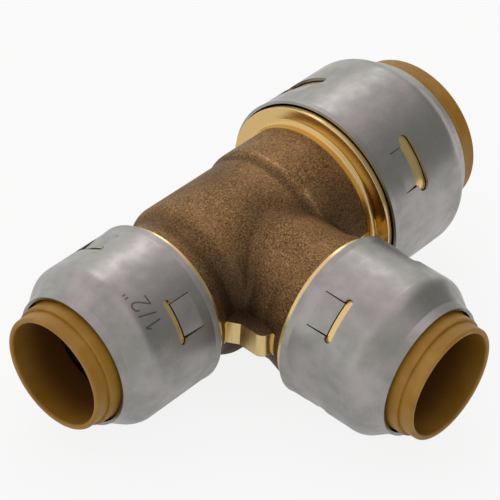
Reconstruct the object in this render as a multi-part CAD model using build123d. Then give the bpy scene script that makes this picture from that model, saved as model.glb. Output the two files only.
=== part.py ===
from build123d import *
from math import cos, degrees, radians, tan
import os

# A push-to-connect reducing tee: one forged brass body with three sockets, a large one at the
# +X end of the run, a small one at the -X end, and a small branch towards -Y.
# The frame's origin is the crossing of the run's axis and the branch's axis. Millimetres.

# Copper tube sizes that the sockets take
small_tube_d = 15.875
large_tube_d = 22.225

# From the crossing of the axes to the rear rim of each socket's sleeve
small_run_reach = 16.95
branch_reach = 20.55
large_run_reach = 18.4

# Tube seat and tube stop in the body
seat_gap = 0.11
stop_ledge = 1.1
stop_depth = 3.2
seat_length = 5.6
lead_in = 0.3

# O-rings, which the tube squeezes
seal_squeeze = 0.14
small_o_ring_section = 2.4
large_o_ring_section = 2.62
o_ring_side_gap = 0.1

# Machined ends of the body: rear land, groove for the tabs, front flange
small_gland_wall = 1.25
large_gland_wall = 1.5
tab_groove_depth = 0.85
land_end = 2.6
land_round = 0.15
small_flange_length = 1.25
large_flange_length = 2.1
small_land_show = 1.0
large_land_show = 1.1
large_turned_neck = 1.5
large_face_round = 0.8

# Forged outside of the body
body_wall = 2.5
barrel_round = 1.9
small_neck_wall = 2.85
large_neck_wall = 1.9
valley_offset = 5.15
valley_slope_run = 1.8
valley_round = 1.6
flare_step = 0.3
turned_step = 0.15
large_step_start = 6.2
large_step_run = 1.5
large_step_round = 1.2
saddle_round = 1.2
reducer_start = 5.5
reducer_angle = 59

# Trimmed web of the forging in each crotch, on the plane of the axes
web_thickness = 4.1
web_to_land = 1.3
web_side = 13.15
web_slant = 2.6
web_foot = 1.1
web_foot_run = 3.1
web_corner_round = 1.4

# Stainless sleeves, deep-drawn from sheet
sleeve_wall = 0.45
sleeve_gap = 0.12
sleeve_flare = 0.12
sleeve_flare_length = 1.0
shoulder_angle = 35
shoulder_round = 3.0
small_nose_rise = 0.42
large_nose_rise = 0.6
nose_length = 1.3

# Windows lanced in each sleeve, with the tabs that lock behind the flange
window_count = 4
small_window_start = 6.15
large_window_start = 6.7
small_slot_width = 1.25
large_slot_width = 2.2
small_tab_width = 5.3
large_tab_width = 6.5
small_slot_overhang = 0.85
large_slot_overhang = 1.4
slot_corner_share = 0.45
small_tab_length = 3.4
large_tab_length = 2.8
tab_press = 0.4
tab_slit = 0.12
tab_gap = 0.12
small_run_window_turn = -54.5
branch_window_turn = 45
large_run_window_turn = 53

# Grab rings
grab_sheet = 0.4
grab_angle = 42
grab_rim_gap = 0.22
grab_band = 1.3
grab_seat_gap = 0.05
small_tooth_count = 12
large_tooth_count = 16
tooth_slot_width = 1.1

# O-ring protectors, which fill the sleeve from the body to the grab ring
protector_gap = 0.05
small_protector_length = 4.9
large_protector_length = 7.1
protector_bore_gap = 0.3
protector_seat_width = 1.0
protector_recess = 0.9
protector_fit = 0.12
protector_waist = 1.5
protector_waist_length = 1.6

# Release collars
collar_bore_gap = 0.26
small_collar_wall = 0.85
large_collar_wall = 1.4
small_collar_step = 0.5
large_collar_step = 0.65
lip_gap = 0.27
collar_step_stand = 1.6
small_collar_stand = 3.8
large_collar_stand = 4.45
collar_rim_round = 0.38
collar_step_round = 0.25
bead_step = 0.8
small_bead_thickness = 1.6
large_bead_thickness = 1.0
bead_gap = 0.35
release_gap = 0.3
collar_nose_width = 0.5

# How far cutters run on past what they cut
cut_clear = 1.0


class Socket:
    """The sizes of one socket. Heights run along its axis from the sleeve's rear rim."""

    def __init__(self, large):
        tube_r = (large_tube_d if large else small_tube_d) / 2
        # radii, from the tube outwards
        self.waterway_r = tube_r - stop_ledge
        self.seat_r = tube_r + seat_gap
        self.o_section = large_o_ring_section if large else small_o_ring_section
        self.grip_r = tube_r - seal_squeeze
        self.gland_r = self.grip_r + self.o_section
        self.groove_r = self.gland_r + (large_gland_wall if large else small_gland_wall)
        self.flange_r = self.groove_r + tab_groove_depth
        self.sleeve_in_r = self.flange_r + sleeve_gap
        self.sleeve_r = self.sleeve_in_r + sleeve_wall
        self.neck_r = self.seat_r + (large_neck_wall if large else small_neck_wall)
        self.collar_in_r = tube_r + collar_bore_gap
        self.collar_r = self.collar_in_r + (large_collar_wall if large else small_collar_wall)
        self.step_r = self.collar_r + (large_collar_step if large else small_collar_step)
        self.bead_r = self.step_r + bead_step
        self.lip_r = self.step_r + lip_gap + sleeve_wall / cos(radians(shoulder_angle))
        self.crease_r = self.lip_r + (large_nose_rise if large else small_nose_rise)
        self.rim_r = self.sleeve_in_r - grab_rim_gap
        self.protector_in_r = tube_r + protector_bore_gap
        # heights, from the tube stop to the collar's rim
        self.stop = -stop_depth
        self.gland_floor = self.stop + seat_length
        self.slot_width = large_slot_width if large else small_slot_width
        self.window_start = large_window_start if large else small_window_start
        self.flange_rear = self.window_start + tab_gap
        self.front = self.flange_rear + (large_flange_length if large else small_flange_length)
        self.protector_top = self.front + (large_protector_length if large else small_protector_length)
        self.rim = self.protector_top + grab_sheet / cos(radians(grab_angle))
        self.shoulder = self.rim + grab_seat_gap
        fall = self.sleeve_r - self.crease_r
        self.crease = self.shoulder + fall / tan(radians(shoulder_angle))
        self.lip = self.crease + nose_length
        self.collar_rim = self.lip + (large_collar_stand if large else small_collar_stand)
        self.bead_front = self.inner_cone(self.bead_r) - bead_gap
        self.bead_rear = self.bead_front - (large_bead_thickness if large else small_bead_thickness)
        self.travel = self.bead_rear - release_gap - self.grab_front(self.bead_r)
        # tabs and teeth
        self.tab_width = large_tab_width if large else small_tab_width
        self.tab_length = large_tab_length if large else small_tab_length
        self.overhang = large_slot_overhang if large else small_slot_overhang
        self.tooth_count = large_tooth_count if large else small_tooth_count
        self.land_show = large_land_show if large else small_land_show

    def inner_cone(self, radius):
        """Height at which the inside of the sleeve's conical shoulder has this radius."""
        inside = self.crease_r - sleeve_wall / cos(radians(shoulder_angle))
        return self.crease + (inside - radius) / tan(radians(shoulder_angle))

    def grab_front(self, radius):
        """Height of the grab ring's front face at this radius."""
        return self.rim - (self.rim_r - radius) * tan(radians(grab_angle))


small = Socket(large=False)
large = Socket(large=True)
barrel_r = large.waterway_r + body_wall


def turned(*corners):
    """Solid turned about Z from an outline of corners: radius, height and rounding."""
    points = [(radius, height) for radius, height, _ in corners]
    outline = FilletPolyline(*points, radius=[rounding for _, _, rounding in corners], close=True)
    return revolve(Plane.XZ * make_face(outline), Axis.Z)


def around(piece, count, turn=0.0):
    """Copies of a piece spaced evenly about Z."""
    return [Rot(0, 0, turn + 360 * step / count) * piece for step in range(count)]


def machined_end(size, reach):
    """Outline of a machined body end, from its rear land to the bore, heights from the crossing."""
    return [
        (size.flange_r, reach - size.land_show, land_round),
        (size.flange_r, reach + land_end, land_round),
        (size.groove_r, reach + land_end, 0),
        (size.groove_r, reach + size.flange_rear, 0),
        (size.flange_r, reach + size.flange_rear, 0),
        (size.flange_r, reach + size.front, land_round),
        (0, reach + size.front, 0),
    ]


def small_run_outside():
    """Barrel, rounded shoulder, valley and flare towards the small run socket."""
    reach = small_run_reach
    valley = reach - valley_offset
    return turned(
        (0, 0, 0),
        (barrel_r, 0, 0),
        (barrel_r, valley - valley_slope_run, barrel_round),
        (small.neck_r, valley, valley_round),
        (small.flange_r - flare_step, reach - small.land_show, 0),
        *machined_end(small, reach),
    )


def branch_outside():
    """Plain neck and flare towards the branch socket."""
    reach = branch_reach
    return turned(
        (0, 0, 0),
        (small.neck_r, 0, 0),
        (small.neck_r, reach - valley_offset, valley_round),
        (small.flange_r - flare_step, reach - small.land_show, 0),
        *machined_end(small, reach),
    )


def large_run_outside():
    """Barrel, step up to the large neck, and the turned neck behind the large socket."""
    reach = large_run_reach
    turned_start = reach - large_land_show - large_turned_neck
    return turned(
        (0, 0, 0),
        (barrel_r, 0, 0),
        (barrel_r, large_step_start, large_step_round),
        (large.neck_r, large_step_start + large_step_run, large_step_round),
        (large.neck_r, turned_start, 0),
        (large.neck_r + turned_step, turned_start, 0),
        (large.neck_r + turned_step, reach - large_land_show, large_face_round),
        *machined_end(large, reach),
    )


def bore(size, reach):
    """Waterway, tube stop, tube seat and O-ring gland of one socket."""
    front = reach + size.front
    return turned(
        (0, 0, 0),
        (size.waterway_r, 0, 0),
        (size.waterway_r, reach + size.stop, 0),
        (size.seat_r, reach + size.stop, 0),
        (size.seat_r, reach + size.gland_floor, 0),
        (size.gland_r, reach + size.gland_floor, 0),
        (size.gland_r, front - lead_in, 0),
        (size.gland_r + lead_in, front, 0),
        (0, front, 0),
    )


def reducer():
    """The large waterway carried past the crossing to a drill point on the small side."""
    fall = (large.waterway_r - small.waterway_r) / tan(radians(reducer_angle))
    return turned(
        (0, 0, 0),
        (large.waterway_r, 0, 0),
        (large.waterway_r, reducer_start, 0),
        (small.waterway_r, reducer_start + fall, 0),
        (0, reducer_start + fall, 0),
    )


def crotch_web(run_reach, run_land, side):
    """Trimmed flat web in one crotch. Side is -1 for the small end of the run, 1 for the large."""
    run_edge = run_reach - run_land - web_to_land
    branch_edge = branch_reach - small_land_show - web_to_land
    outline = FilletPolyline(
        (0, 0),
        (side * run_edge, 0),
        (side * run_edge, -(web_side - web_slant)),
        (side * web_side, -web_side),
        (side * web_side, web_foot - branch_edge),
        (side * (web_side - web_foot_run), -branch_edge),
        (0, -branch_edge),
        radius=[0, 0, web_corner_round, 0, web_corner_round, 0, 0],
        close=True,
    )
    return Pos(0, 0, -web_thickness / 2) * extrude(make_face(outline), web_thickness)


def tee_body():
    """The one-piece forging, with its machined ends, seats and waterways."""
    run = towards_small_run(small_run_outside()) + towards_large_run(large_run_outside())
    branch = towards_branch(branch_outside())
    outside = run + branch
    saddle = new_edges(run, branch, combined=outside)
    outside = fillet(saddle, saddle_round)
    outside += crotch_web(small_run_reach, small_land_show, -1)
    outside += crotch_web(large_run_reach, large_land_show, 1)
    bores = towards_small_run(bore(small, small_run_reach)) + towards_small_run(reducer())
    bores += towards_large_run(bore(large, large_run_reach))
    bores += towards_branch(bore(small, branch_reach))
    return outside - bores


def sleeve(size, turn):
    """Drawn stainless shell: flared rear, cylinder, conical shoulder, nose and open lip."""
    path = FilletPolyline(
        (size.sleeve_r + sleeve_flare, 0),
        (size.sleeve_r, sleeve_flare_length),
        (size.sleeve_r, size.shoulder),
        (size.crease_r, size.crease),
        (size.lip_r, size.lip),
        radius=[0, shoulder_round, 0],
    )
    sheet = make_face(offset(path, amount=-sleeve_wall, side=Side.LEFT, closed=True))
    shell = revolve(Plane.XZ * sheet, Axis.Z)
    shell -= around(window_cut(size), window_count, turn)
    shell += around(tab(size), window_count, turn)
    return shell


def window_cut(size):
    """Slot in front of a tab and the opening that the tab is bent from, through one wall."""
    depth = sleeve_wall + 2 * cut_clear
    middle = size.sleeve_in_r + sleeve_wall / 2
    slot_length = size.tab_width + 2 * size.overhang
    slot = Pos(middle, 0, size.window_start + size.slot_width / 2) * Box(depth, slot_length, size.slot_width)
    slot = fillet(slot.edges().filter_by(Axis.X), size.slot_width * slot_corner_share)
    opening = Box(depth, size.tab_width + 2 * tab_slit, size.tab_length)
    return slot + Pos(middle, 0, size.window_start - size.tab_length / 2) * opening


def tab(size):
    """Tab bent inwards from its root, with its free edge towards the mouth."""
    root = size.window_start - size.tab_length
    inside = Plane.XZ * make_face(Polyline(
        (size.sleeve_in_r, root),
        (size.sleeve_r, root),
        (size.sleeve_r - tab_press, size.window_start),
        (size.sleeve_in_r - tab_press, size.window_start),
        close=True,
    ))
    span = degrees(size.tab_width / size.sleeve_r)
    return Rot(0, 0, -span / 2) * revolve(inside, Axis.Z, revolution_arc=span)


def grab_ring(size):
    """Coned steel ring whose slots leave teeth that lean into the body and bite the tube."""
    sheet = grab_sheet / cos(radians(grab_angle))
    cone = turned(
        (size.rim_r, size.rim - sheet, 0),
        (size.rim_r, size.rim, 0),
        (size.grip_r, size.grab_front(size.grip_r), 0),
        (size.grip_r, size.grab_front(size.grip_r) - sheet, 0),
    )
    slot_end = size.rim_r - grab_band
    length = slot_end - size.grip_r + cut_clear
    height = size.rim - size.grab_front(size.grip_r) + sheet + cut_clear
    slot = Box(length, tooth_slot_width, height, align=(Align.MAX, Align.CENTER, Align.MAX))
    slot = Pos(slot_end, 0, size.rim) * slot
    return cone - around(slot, size.tooth_count)


def o_ring(size):
    """Rubber ring at the floor of its gland."""
    section_r = size.o_section / 2
    height = size.gland_floor + o_ring_side_gap + section_r
    return Pos(0, 0, height) * Torus(size.gland_r - section_r, section_r)


def protector(size):
    """Plastic ring that holds the O-ring in its gland and carries the grab ring's rim."""
    skirt = size.gland_floor + size.o_section + 2 * o_ring_side_gap
    skirt_r = size.gland_r - protector_fit
    rear = size.front + protector_gap
    slope = tan(radians(grab_angle))
    sheet = grab_sheet / cos(radians(grab_angle))
    seat_in_r = size.rim_r - protector_seat_width
    seat = size.grab_front(seat_in_r) - sheet
    hollow = seat - protector_recess
    return turned(
        (size.protector_in_r, skirt, 0),
        (skirt_r, skirt, 0),
        (skirt_r, rear, 0),
        (size.rim_r - protector_waist, rear, 0),
        (size.rim_r, rear + protector_waist_length, 0),
        (size.rim_r, size.rim - sheet, 0),
        (seat_in_r, seat, 0),
        (seat_in_r, hollow, 0),
        (size.protector_in_r, hollow - (seat_in_r - size.protector_in_r) * slope, 0),
    )


def release_collar(size):
    """Plastic collar: visible tube and step, bead behind the sleeve's lip, nose over the teeth."""
    slope = tan(radians(grab_angle))
    shoulder = (size.bead_r - size.step_r) / tan(radians(shoulder_angle))
    nose_r = size.collar_in_r + collar_nose_width
    nose = size.bead_rear - (size.bead_r - nose_r) * slope
    return turned(
        (size.collar_in_r, nose, 0),
        (nose_r, nose, 0),
        (size.bead_r, size.bead_rear, 0),
        (size.bead_r, size.bead_front, 0),
        (size.step_r, size.bead_front + shoulder, 0),
        (size.step_r, size.lip + collar_step_stand, collar_step_round),
        (size.collar_r, size.lip + collar_step_stand, 0),
        (size.collar_r, size.collar_rim, collar_rim_round),
        (size.collar_in_r, size.collar_rim, collar_rim_round),
    )


def towards_small_run(piece):
    """A piece modelled along +Z, laid along -X."""
    return Rot(0, -90, 0) * piece


def towards_large_run(piece):
    """A piece modelled along +Z, laid along +X."""
    return Rot(0, 90, 0) * piece


def towards_branch(piece):
    """A piece modelled along +Z, laid along -Y."""
    return Rot(90, 0, 0) * piece


def socket_pieces(size, turn):
    """The pieces that one socket holds, by name."""
    return {
        "sleeve": sleeve(size, turn),
        "release_collar": release_collar(size),
        "grab_ring": grab_ring(size),
        "o_ring": o_ring(size),
        "o_ring_protector": protector(size),
    }


ports = [
    ("small_run", small, small_run_reach, small_run_window_turn, towards_small_run),
    ("branch", small, branch_reach, branch_window_turn, towards_branch),
    ("large_run", large, large_run_reach, large_run_window_turn, towards_large_run),
]

os.makedirs("parts", exist_ok=True)
export_step(tee_body(), "parts/tee_body.step")
for port, size, reach, turn, place in ports:
    for name, piece in socket_pieces(size, turn).items():
        export_step(place(Pos(0, 0, reach) * piece), f"parts/{port}_{name}.step")
    print(port, "collar travel", round(size.travel, 3), "collar rim at", round(reach + size.collar_rim, 3))
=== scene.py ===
import math

import bpy
import numpy as np
from mathutils import Matrix, Vector


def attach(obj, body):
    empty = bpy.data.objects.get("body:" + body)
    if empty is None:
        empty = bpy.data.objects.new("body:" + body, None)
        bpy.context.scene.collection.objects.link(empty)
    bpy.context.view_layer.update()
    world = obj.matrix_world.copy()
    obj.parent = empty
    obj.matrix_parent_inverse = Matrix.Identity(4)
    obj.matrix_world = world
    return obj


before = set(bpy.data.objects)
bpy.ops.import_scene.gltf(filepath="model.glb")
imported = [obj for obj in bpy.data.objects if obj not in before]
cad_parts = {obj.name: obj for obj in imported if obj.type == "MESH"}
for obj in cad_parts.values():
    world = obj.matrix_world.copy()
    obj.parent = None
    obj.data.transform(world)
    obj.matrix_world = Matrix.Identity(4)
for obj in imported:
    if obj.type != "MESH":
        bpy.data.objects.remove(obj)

# The tee lies on a white table, seen from above on the side of its two small sockets.
# The table tilts a little against the tee's own frame, because the large socket holds its end up.
# Lengths are in millimetres and become metres where Blender takes them.
mm = 0.001
scene = bpy.context.scene
scene.view_settings.view_transform = "Standard"
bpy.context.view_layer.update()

camera_place = Vector((-178.5, -153.6, 199.25))
camera_azimuth = -49.86
camera_elevation = 40.18
camera_roll = 3.07
camera_lens = 146.5

camera_data = bpy.data.cameras.new("camera")
camera_data.sensor_width = 36.0
camera_data.lens = camera_lens
camera = bpy.data.objects.new("camera", camera_data)
scene.collection.objects.link(camera)
level = math.cos(math.radians(camera_elevation))
towards = Vector((
    -math.sin(math.radians(camera_azimuth)) * level,
    math.cos(math.radians(camera_azimuth)) * level,
    -math.sin(math.radians(camera_elevation)),
))
upright = towards.to_track_quat("-Z", "Y").to_matrix()
rolled = upright @ Matrix.Rotation(math.radians(camera_roll), 3, "Z")
camera.matrix_world = Matrix.Translation(camera_place * mm) @ rolled.to_4x4()
scene.camera = camera

# The table touches the large sleeve's rear rim and the two small sleeves near their shoulders.
table_height = -15.27
table_rise_x = -0.0819
table_rise_y = -0.0712
table_half = 900.0

corners = np.array([(-1, -1), (1, -1), (1, 1), (-1, 1)]) * table_half
heights = table_height + corners[:, 0] * table_rise_x + corners[:, 1] * table_rise_y
table_mesh = bpy.data.meshes.new("table")
table_mesh.from_pydata((np.column_stack((corners, heights)) * mm).tolist(), [], [(0, 1, 2, 3)])
table = bpy.data.objects.new("table", table_mesh)
scene.collection.objects.link(table)


class Link:
    """A shader socket that Python's operators work on: an expression adds its Math nodes."""

    def __init__(self, tree, socket=None):
        self.tree = tree
        self.socket = socket

    def node(self, kind, sockets, out=0, stops=None, **settings):
        """Any node: its type and settings, the values or links of its sockets, and its output."""
        made = self.tree.nodes.new(kind)
        for name, value in settings.items():
            setattr(made, name, value)
        if stops:
            ramp = made.color_ramp
            ramp.elements[0].position, ramp.elements[0].color = stops[0]
            ramp.elements[1].position, ramp.elements[1].color = stops[-1]
            for place, colour in stops[1:-1]:
                ramp.elements.new(place).color = colour
        for name, value in sockets.items():
            if isinstance(value, Link):
                self.tree.links.new(value.socket, made.inputs[name])
            else:
                made.inputs[name].default_value = value
        return Link(self.tree, made.outputs[out] if made.outputs else None)

    def maths(self, operation, *values):
        return self.node("ShaderNodeMath", dict(enumerate(values)), operation=operation)

    def __add__(self, other):
        return self.maths("ADD", self, other)

    __radd__ = __add__

    def __sub__(self, other):
        return self.maths("SUBTRACT", self, other)

    def __rsub__(self, other):
        return self.maths("SUBTRACT", other, self)

    def __mul__(self, other):
        return self.maths("MULTIPLY", self, other)

    __rmul__ = __mul__

    def __truediv__(self, other):
        return self.maths("DIVIDE", self, other)

    def __pow__(self, other):
        return self.maths("POWER", self, other)

    def __abs__(self):
        return self.maths("ABSOLUTE", self)

    def ramp(self, low, high, start=0.0, end=1.0):
        """Rises smoothly from start, where this is low, to end, where it is high."""
        sockets = {"Value": self, "From Min": low, "From Max": high, "To Min": start, "To Max": end}
        return self.node("ShaderNodeMapRange", sockets, interpolation_type="SMOOTHSTEP")

    def blend(self, below, above):
        """The colour below where this is 0, above where it is 1."""
        sockets = {0: self, 6: below, 7: above}
        return self.node("ShaderNodeMix", sockets, out=2, data_type="RGBA")


def colour(red, green, blue):
    """A linear colour with its alpha."""
    return (red, green, blue, 1.0)


white = colour(1.0, 1.0, 1.0)
table_white = colour(0.86, 0.86, 0.85)
table_glow_seen = 0.86
table_glow_mirrored = 0.55

table_material = bpy.data.materials.new("table_paper")
table_material.use_nodes = True
tree = table_material.node_tree
tree.nodes.clear()
start = Link(tree)
seen = start.node("ShaderNodeLightPath", {}, out="Is Camera Ray")
mirrored = start.node("ShaderNodeLightPath", {}, out="Is Glossy Ray")
through = start.node("ShaderNodeLightPath", {}, out="Is Transmission Ray")
paper = start.node("ShaderNodeBsdfDiffuse", {"Color": table_white})
glow = start.node("ShaderNodeEmission", {"Color": white})
share = seen * table_glow_seen + (mirrored + through) * table_glow_mirrored
surface = start.node("ShaderNodeMixShader", {0: share, 1: paper, 2: glow})
start.node("ShaderNodeOutputMaterial", {"Surface": surface})
table_mesh.materials.append(table_material)

# The room is a white tent: brightest on the left, dimmer low on the right, and a little dimmer
# where the camera looks in.
room_low = colour(0.90, 0.95, 0.87)
room_high = colour(0.95, 0.86, 0.89)
room_right = colour(0.30, 0.30, 0.28)
room_gap = colour(0.66, 0.65, 0.63)
right_direction = (0.76, -0.64, 0.10)
gap_direction = (-0.66, -0.56, 0.50)

world = bpy.data.worlds.new("room")
world.use_nodes = True
scene.world = world
tree = world.node_tree
tree.nodes.clear()
start = Link(tree)
direction = start.node("ShaderNodeTexCoord", {}, out="Generated")


def facing(way):
    """Cosine between the direction looked in and a fixed one."""
    return direction.node("ShaderNodeVectorMath", {0: direction, 1: way}, operation="DOT_PRODUCT", out="Value")


room = facing((0.0, 0.0, 1.0)).ramp(-0.1, 0.9).blend(room_low, room_high)
room = facing(right_direction).ramp(0.30, 0.88).blend(room, room_right)
room = facing(gap_direction).ramp(0.45, 0.95).blend(room, room_gap)
seen = start.node("ShaderNodeLightPath", {}, out="Is Camera Ray")
backdrop = start.node("ShaderNodeBackground", {"Color": seen.blend(room, white)})
start.node("ShaderNodeOutputWorld", {"Surface": backdrop})


def softbox(name, azimuth, elevation, distance, width, height, watts, tint):
    """A rectangular lamp on a sphere round the crossing, facing it."""
    lamp = bpy.data.lights.new(name, "AREA")
    lamp.shape = "RECTANGLE"
    lamp.size = width * mm
    lamp.size_y = height * mm
    lamp.energy = watts
    lamp.color = tint
    holder = bpy.data.objects.new(name, lamp)
    flat = math.cos(math.radians(elevation))
    place = Vector((
        math.sin(math.radians(azimuth)) * flat,
        -math.cos(math.radians(azimuth)) * flat,
        math.sin(math.radians(elevation)),
    ))
    holder.matrix_world = (
        Matrix.Translation(place * distance * mm) @ (-place).to_track_quat("-Z", "Y").to_matrix().to_4x4()
    )
    scene.collection.objects.link(holder)


softbox("window_lamp", 134, 40, 700, 230, 230, 0.24, (1.0, 0.98, 0.99))


def new_surface(name):
    """An empty material, and its Object coordinates in millimetres."""
    material = bpy.data.materials.new(name)
    material.use_nodes = True
    material.node_tree.nodes.clear()
    bare = Link(material.node_tree)
    spot = bare.node("ShaderNodeTexCoord", {}, out="Object")
    return material, spot.node("ShaderNodeVectorMath", {0: spot, "Scale": 1 / mm}, operation="SCALE")


def finish_surface(start, height, bump_depth, **sockets):
    """Closes a material: a Principled shader with a bump whose full height is bump_depth."""
    relief = {"Height": height, "Distance": bump_depth * mm, "Strength": 1.0}
    normal = start.node("ShaderNodeBump", relief, out="Normal")
    named = {name.replace("_", " "): value for name, value in sockets.items()}
    shader = start.node("ShaderNodeBsdfPrincipled", {**named, "Normal": normal}, out="BSDF")
    start.node("ShaderNodeOutputMaterial", {"Surface": shader})


def cloud(spot, size, detail=3.0, roughness=0.55):
    """Noise from 0 to 1 whose patches are about size millimetres across."""
    sockets = {"Vector": spot, "Scale": 1 / size, "Detail": detail, "Roughness": roughness}
    return spot.node("ShaderNodeTexNoise", sockets)


def part(spot, axis):
    """One coordinate of a place."""
    return spot.node("ShaderNodeSeparateXYZ", {0: spot}, out=axis)


def from_axis(first, second):
    """Distance from an axis, from the two coordinates square to it."""
    return (first * first + second * second) ** 0.5


def dress(node, material):
    """Gives a carried-over solid its material."""
    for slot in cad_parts[node].material_slots:
        slot.material = material


# The body is one brass forging, shot-blasted brown all over; random gold cells in its grain are painted glints.
# Its three ends are turned bright, and so are the bores; the web in each crotch is trimmed bright.
# Painted shade darkens the join of branch and barrel, the crotches, the band under the step and the valley by the
# small end, that one more towards the bottom; the step's edge is worn to gold.
blasted_dark = colour(0.125, 0.066, 0.028)
blasted_brown = colour(0.37, 0.215, 0.095)
glint_and_wear_gold = colour(0.66, 0.44, 0.19)
shade_brown = colour(0.050, 0.033, 0.022)
bright_brass = colour(0.82, 0.63, 0.30)
ring_tone_and_shade_brass = colour(0.60, 0.33, 0.08)
bright_start_large = 15.8
bright_start_small = -15.95
bright_start_branch = -19.55
bore_reach = 10.4
branch_bore_reach = 8.5
web_half_thickness = 2.03
web_start = -9.0
web_edges_x = (-14.7, 16.05)
web_edge_branch = -18.2
barrel_radius = 12.5
neck_radius = 10.9
valley_place = -12.4
crotch_place = 11.8
step_foot = 6.3
step_edge = 7.65
face_place = 17.2
face_middle = 14.6
face_half = 1.2
grain_size = 0.26
glint_size = 0.17
edge_soft = 0.06

body_material, spot = new_surface("forged_brass")
x, y, z = (part(spot, axis) for axis in "XYZ")
run_distance = from_axis(y, z)
branch_distance = from_axis(x, z)


def inside_edge(distance, edge):
    """1 on the near side of an edge and 0 beyond it."""
    return 1 - distance.ramp(edge - edge_soft, edge)


def band(coordinate, middle, full, faded):
    """1 within full of a middle value, fading to 0 at faded."""
    return 1 - abs(coordinate - middle).ramp(full, faded)


def either(first, second):
    """The larger of two masks."""
    return first.maths("MAXIMUM", first, second)


machined = either(
    either(1 - inside_edge(x, bright_start_large), inside_edge(x, bright_start_small)),
    inside_edge(y, bright_start_branch),
)
bores = either(
    inside_edge(run_distance, bore_reach),
    inside_edge(branch_distance, branch_bore_reach) * inside_edge(y, 0),
)
web = inside_edge(abs(z), web_half_thickness) * inside_edge(y, web_start)
web = web * (1 - inside_edge(x, web_edges_x[0])) * inside_edge(x, web_edges_x[1])
web = web * (1 - inside_edge(y, web_edge_branch))
bright = either(either(machined, bores), web)

grain = cloud(spot, grain_size, detail=1.0, roughness=0.6)
patches = cloud(spot, 5.0, detail=4.0)
glint_cells = part(spot.node("ShaderNodeTexVoronoi", {"Vector": spot, "Scale": 1 / glint_size}, out="Color"), "X")
worn = band(x, step_edge, 0.05, 0.5) * band(run_distance, barrel_radius + 0.4, 0.5, 0.7) * patches.ramp(0.40, 0.62)
# Painted shade masks: where the branch meets the barrel, the valley by the small end (stronger low down), the
# crotches, and the band under the step.
saddle_shade = band(run_distance, barrel_radius, 0.3, 2.6) * band(branch_distance, neck_radius, 0.3, 2.6)
valley_shade = band(x, valley_place, 0.9, 2.6) * z.ramp(-8.0, 10.0, 1.0, 0.55)
crotch_shade = 1 - from_axis(abs(x) - crotch_place, y + crotch_place).ramp(1.5, 8.0)
foot_shade = band(x, step_foot, 0.2, 1.0) * band(run_distance, barrel_radius, 0.5, 0.9)
painted_shade = 1 - (1 - saddle_shade * 0.38) * (1 - valley_shade * 0.75) * (1 - crotch_shade * 0.55) * (1 - foot_shade * 0.45)
brown = (grain * 1.1 + patches * 0.5).ramp(0.52, 1.05).blend(blasted_dark, blasted_brown)
# Gold cells are painted glints all over; along the step's edge they also show real wear.
brown = (glint_cells.ramp(0.66, 1.0) * 0.48 + worn * glint_cells * 0.8).blend(brown, glint_and_wear_gold)
# The brown is darkened towards a painted shade colour where these masks add up.
brown = (painted_shade * (0.75 + patches * 0.5)).blend(brown, shade_brown)
rings = cloud(spot.node("ShaderNodeCombineXYZ", {"X": run_distance, "Y": x}), 0.09, detail=1.0)
upright = spot.node("ShaderNodeVectorMath", {0: spot, 1: (7.0, 7.0, 0.3)}, operation="MULTIPLY")
strokes = cloud(upright, 1.2)
turned = web * strokes + (1 - web) * rings
# The large end's annular face is painted darker: painted shade and a painted reflection of the dark body, on top of
# the real turned rings' tone.
ring_face_shade = band(x, face_place, 0.3, 0.8) * band(run_distance, face_middle, face_half, face_half + 0.2)
deep = either(turned.ramp(0.35, 0.7) * 0.4, ring_face_shade * 0.45)
base = bright.blend(brown, deep.blend(bright_brass, ring_tone_and_shade_brass))
relief = bright * (turned * 0.10) + (1 - bright) * (grain * 0.6 + patches * 0.9 + glint_cells * 0.2)
finish_surface(
    spot, relief, 0.12,
    Base_Color=base,
    Metallic=1.0,
    Roughness=bright * (0.16 + web * 0.12) + (1 - bright) * (0.55 + grain * 0.1),
)
dress("tee_body", body_material)


# The sleeves are drawn from stainless sheet, one on each socket. Four tabs in each are lanced
# inwards behind the body's flange and lock it there. Handling has left dull clouds on them.
steel_light = colour(0.42, 0.398, 0.394)
steel_dull = colour(0.318, 0.320, 0.298)
steel_scale = colour(0.20, 0.185, 0.17)
steel_stain = colour(0.345, 0.305, 0.275)
ports = {"small_run": "X", "branch": "Y", "large_run": "X"}


def sleeve_steel(name, axis):
    """Drawn steel with faint turned bands square to the sleeve's axis."""
    material, spot = new_surface(name)
    along = part(spot, axis)
    bands = cloud(along.node("ShaderNodeCombineXYZ", {"X": along}), 0.5, detail=4.0)
    clouds = cloud(spot, 7.0, detail=5.0)
    smears = cloud(spot, 1.8, detail=4.0)
    specks = cloud(spot, 0.4, detail=2.0).ramp(0.66, 0.80)
    dull = (clouds * 0.75 + smears * 0.35 + bands * 0.12).ramp(0.42, 0.80)
    stain = cloud(spot.node("ShaderNodeVectorMath", {0: spot, 1: (31.0, 17.0, 9.0)}, operation="ADD"), 3.2, detail=5.0)
    tint = (stain.ramp(0.58, 0.74) * 0.5).blend(dull.blend(steel_light, steel_dull), steel_stain)
    tint = (specks * 0.45).blend(tint, steel_scale)
    finish_surface(
        spot, bands * 0.25 + smears * 0.35 + clouds * 2.0, 0.03,
        Base_Color=tint,
        Metallic=1.0,
        Roughness=0.29 + dull * 0.12 + specks * 0.1,
    )
    return material


for port, axis in ports.items():
    dress(f"{port}_sleeve", sleeve_steel(f"{port}_steel", axis))


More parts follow.
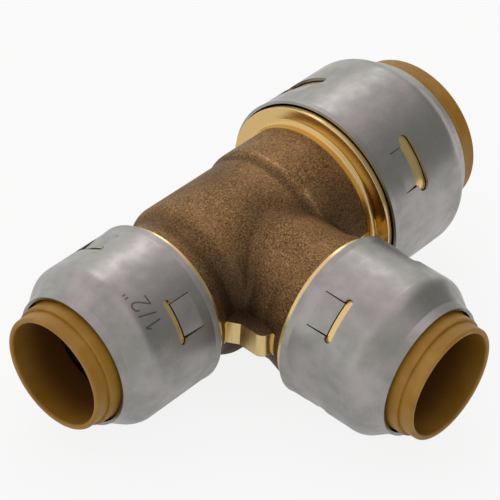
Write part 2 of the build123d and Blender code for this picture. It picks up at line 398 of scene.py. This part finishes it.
# The nominal size is etched into the small run sleeve beside a window, with its letters' tops
# towards the mouth. Each stroke is a shallow dark line, 0.24 mm wide.
etch_grey = colour(0.10, 0.094, 0.092)
etched_radius = 12.868
stroke_width = 0.24
stroke_proud = 0.008
stroke_sunk = 0.06
mark_base = 25.95
mark_height = 2.85
mark_unit = 1.45
figure_one = (-48.6, [(0.0, 0.72), (0.34, 1.0), (0.34, 0.0)])
slash = (-41.6, [(0.0, 0.0), (0.55, 1.0)])
figure_two = (-35.4, [(1.0, 0.0), (0.0, 0.0), (0.78, 0.52), (0.93, 0.68), (0.97, 0.84), (0.80, 0.97),
                      (0.52, 1.0), (0.20, 0.93), (0.03, 0.74)])
first_tick = (-24.2, [(0.0, 0.80), (0.0, 1.0)])
second_tick = (-21.6, [(0.0, 0.80), (0.0, 1.0)])


def stroke(path):
    """A ribbon round the cylinder along a path of height and arc: at each station the path's
    point plus and minus half a width along its normal, once just above the wall and once in it."""
    points = np.array(path)
    run = np.gradient(points, axis=0)
    run /= np.linalg.norm(run, axis=1)[:, None]
    aside = np.column_stack((-run[:, 1], run[:, 0])) * stroke_width / 2
    rows = []
    for side, radius in ((1, stroke_proud), (-1, stroke_proud), (-1, -stroke_sunk), (1, -stroke_sunk)):
        height, arc = (points + side * aside).T
        rows.append(np.column_stack((
            -height,
            (etched_radius + radius) * np.sin(arc / etched_radius),
            (etched_radius + radius) * np.cos(arc / etched_radius),
        )))
    stations = np.stack(rows, axis=1).reshape(-1, 3)
    here = np.arange(len(points) - 1)[:, None] * 4 + np.arange(4)
    beside = np.arange(len(points) - 1)[:, None] * 4 + (np.arange(4) + 1) % 4
    sides = np.stack((here, beside, beside + 4, here + 4), axis=2).reshape(-1, 4)
    ends = np.array([(3, 2, 1, 0), (0, 1, 2, 3)])
    ends[1] += 4 * (len(points) - 1)
    return stations, np.vstack((sides, ends))


def fine(corners, steps=6):
    """The corners joined by straight runs, each divided into equal steps."""
    corners = np.array(corners)
    share = np.linspace(0, 1, steps, endpoint=False)[None, :, None]
    runs = corners[:-1, None] * (1 - share) + corners[1:, None] * share
    return np.vstack((runs.reshape(-1, 2), corners[-1:]))


mark_points, mark_faces = [], []
for turn, corners in (figure_one, slash, figure_two, first_tick, second_tick):
    outline = fine(corners)
    heights = mark_base + mark_height * outline[:, 1]
    arcs = math.radians(turn) * etched_radius + mark_unit * outline[:, 0]
    stations, faces = stroke(np.column_stack((heights, arcs)))
    mark_faces.append(faces + sum(len(block) for block in mark_points))
    mark_points.append(stations)

mark_mesh = bpy.data.meshes.new("size_mark")
mark_mesh.from_pydata((np.vstack(mark_points) * mm).tolist(), [], np.vstack(mark_faces).tolist())
mark = bpy.data.objects.new("size_mark", mark_mesh)
scene.collection.objects.link(mark)
etched, spot = new_surface("etched_steel")
pits = cloud(spot, 0.15, detail=2.0)
finish_surface(spot, pits, 0.01, Base_Color=pits.ramp(0.3, 0.7).blend(etch_grey, steel_scale), Metallic=1.0, Roughness=0.5)
mark_mesh.materials.append(etched)
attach(mark, "tee")


# The release collars are moulded in tan plastic that lets a little light through.
collar_tan = colour(0.33, 0.160, 0.010)
collar_pale = colour(0.41, 0.225, 0.035)
collar_bore_shade = colour(0.125, 0.046, 0.006)
bores_of_collars = {"small_run": (8.35, -38.03, -32.0), "branch": (8.35, -41.63, -35.6), "large_run": (11.5, 43.14, 36.5)}


def collar_plastic(port, axis):
    """Satin plastic with a faint moulded ripple, and painted shade darkening down its bore."""
    material, spot = new_surface(f"{port}_collar_plastic")
    ripple = cloud(spot, 0.8, detail=2.0)
    streak = cloud(spot, 5.0, detail=3.0)
    radius, rim, deep = bores_of_collars[port]
    across, along = (part(spot, "X"), part(spot, "Y")) if axis == "Y" else (part(spot, "Y"), part(spot, "X"))
    bore = 1 - from_axis(across, part(spot, "Z")).ramp(radius - 0.08, radius + 0.05)
    depth = (along - rim) / (deep - rim)
    # Painted shade: the bore's colour darkens with depth from the rim.
    shade = bore * depth.ramp(0.0, 1.0, 0.25, 1.0)
    finish_surface(
        spot, ripple, 0.015,
        Base_Color=shade.blend(streak.ramp(0.35, 0.75).blend(collar_tan, collar_pale), collar_bore_shade),
        Roughness=0.42 + ripple * 0.1,
        Subsurface_Weight=0.08,
        Subsurface_Radius=(0.0012, 0.0005, 0.0002),
        Specular_IOR_Level=0.35,
    )
    return material


for port, axis in ports.items():
    dress(f"{port}_release_collar", collar_plastic(port, axis))


# Inside each socket sit a stamped grab ring, the rubber O-ring and the plastic ring that holds it.
spring_grey = colour(0.32, 0.30, 0.27)
rubber_black = colour(0.018, 0.018, 0.019)
holder_brown = colour(0.085, 0.040, 0.012)


def plain_surface(name, tint, metallic, roughness, ripple_size, depth):
    """One colour with a fine grain of the given size and depth."""
    material, spot = new_surface(name)
    grain = cloud(spot, ripple_size)
    dim = colour(*(0.7 * value for value in tint[:3]))
    finish_surface(
        spot, grain, depth,
        Base_Color=grain.ramp(0.3, 0.7).blend(dim, tint),
        Metallic=metallic,
        Roughness=roughness + grain * 0.1,
    )
    return material


for port in ports:
    dress(f"{port}_grab_ring", plain_surface(f"{port}_grab_steel", spring_grey, 1.0, 0.25, 0.4, 0.01))
    dress(f"{port}_o_ring", plain_surface(f"{port}_rubber", rubber_black, 0.0, 0.55, 0.2, 0.01))
    dress(f"{port}_o_ring_protector", plain_surface(f"{port}_holder", holder_brown, 0.0, 0.45, 0.5, 0.01))
